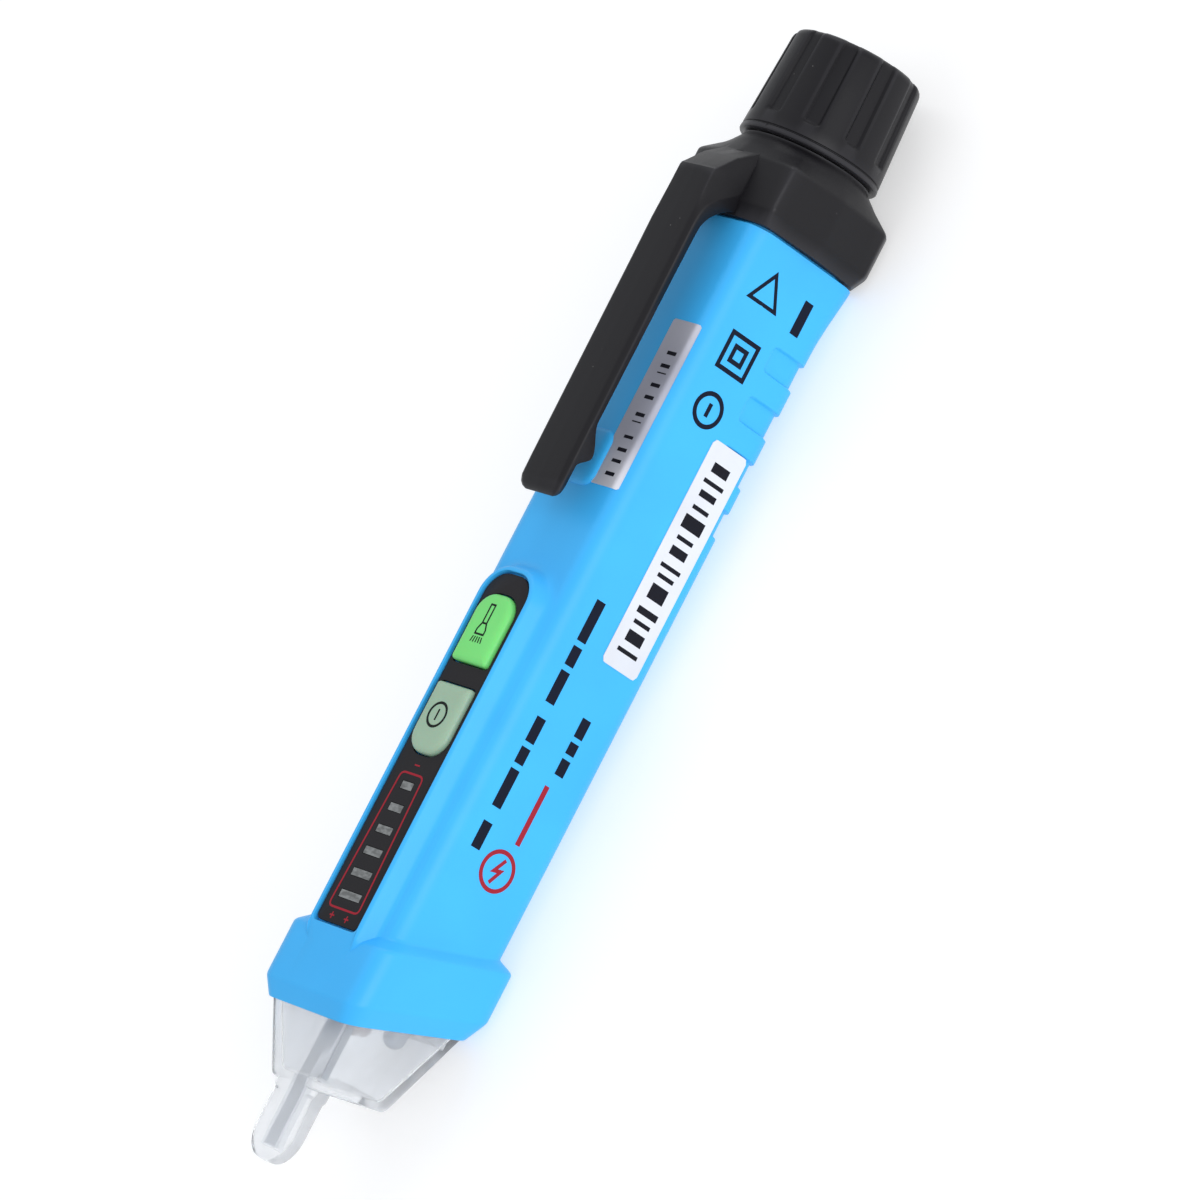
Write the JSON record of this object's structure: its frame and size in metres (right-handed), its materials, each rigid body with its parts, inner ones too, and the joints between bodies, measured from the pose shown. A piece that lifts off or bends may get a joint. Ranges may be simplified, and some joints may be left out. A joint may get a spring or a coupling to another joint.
{
  "type": "non contact voltage tester",
  "caption": "Pen-shaped non contact voltage tester with a clear probe nose, square barrel, control panel, pocket clip and rotary tail knob.",
  "frame": {"origin": "middle of the bounding box's underside, on the plane that the pen's flat backs rest on", "axes": "+X from the probe tip to the tail knob, +Z towards the control panel and clip, -Y towards the labelled side"},
  "size_m": [0.156, 0.021, 0.0257],
  "materials": {
    "blue_housing": "fine satin moulded polymer",
    "clear_nose": "clear polished polymer",
    "black_polymer": "satin black moulded polymer",
    "panel_film": "dark satin printed film",
    "green_button": "satin green rubbery polymer",
    "grey_green_button": "satin grey-green polymer",
    "level_windows": "grey diffusing light guide",
    "paper_label": "white printed label",
    "foil_label": "silver printed label",
    "seal_rubber": "black rubber",
    "white_polymer": "pale moulded polymer",
    "alarm_lens": "water-clear lens over a red die",
    "clear_lens": "water-clear lens",
    "yellow_lens": "small chip lens",
    "circuit_board": "green solder mask",
    "component_black": "black component body",
    "potentiometer_case": "dark pressed case",
    "antenna_metal": "bright strip",
    "plated_contact": "nickel plated",
    "shaft_metal": "machined",
    "cell_jacket": "printed cell jacket, no marks"
  },
  "bodies": {
    "barrel": {"barrel": "blue_housing", "nose_cone": "clear_nose", "antenna_rib": "clear_nose", "panel_overlay": "panel_film", "level_light_guide": "level_windows", "side_label": "paper_label", "corner_label": "foil_label", "seal_ring": "seal_rubber", "lamp_holder": "white_polymer", "battery_carrier": "white_polymer", "alarm_lamp": "alarm_lens", "torch_lamp": "clear_lens", "level_lamp_1": "yellow_lens", "level_lamp_2": "yellow_lens", "level_lamp_3": "yellow_lens", "level_lamp_4": "yellow_lens", "level_lamp_5": "yellow_lens", "level_lamp_6": "yellow_lens", "main_board": "circuit_board", "controller_chip": "component_black", "sounder": "component_black", "power_switch": "component_black", "torch_switch": "component_black", "probe_antenna": "antenna_metal", "front_contact": "plated_contact", "battery_front": "cell_jacket", "battery_rear": "cell_jacket"},
    "tail_cap": {"tail_housing": "black_polymer", "tail_board": "circuit_board", "contact_spring": "plated_contact", "potentiometer": "potentiometer_case"},
    "clip": {"pocket_clip": "black_polymer"},
    "knob": {"sensitivity_knob": "black_polymer", "knob_shaft": "shaft_metal"},
    "power_button": {"power_button": "grey_green_button"},
    "torch_button": {"torch_button": "green_button"}
  },
  "joints": [
    {"name": "cap_pull", "type": "slide", "parent": "barrel", "child": "tail_cap", "axis": [1, 0, 0], "range_m": [0, 0.02]},
    {"name": "clip_flex", "type": "hinge", "parent": "tail_cap", "child": "clip", "pos_m": [0.05145, 0, 0.02565], "axis": [0, 1, 0], "range_deg": [0, 5], "stiffness_Nm_per_rad": 0.5},
    {"name": "knob_turn", "type": "hinge", "parent": "tail_cap", "child": "knob", "pos_m": [0.0635, 0, 0.0105], "axis": [1, 0, 0], "range_deg": [-135, 135]},
    {"name": "power_press", "type": "slide", "parent": "barrel", "child": "power_button", "axis": [0, 0, -1], "range_m": [0, 0.0005], "stiffness_N_per_m": 300},
    {"name": "torch_press", "type": "slide", "parent": "barrel", "child": "torch_button", "axis": [0, 0, -1], "range_m": [0, 0.0005], "stiffness_N_per_m": 300}
  ]
}
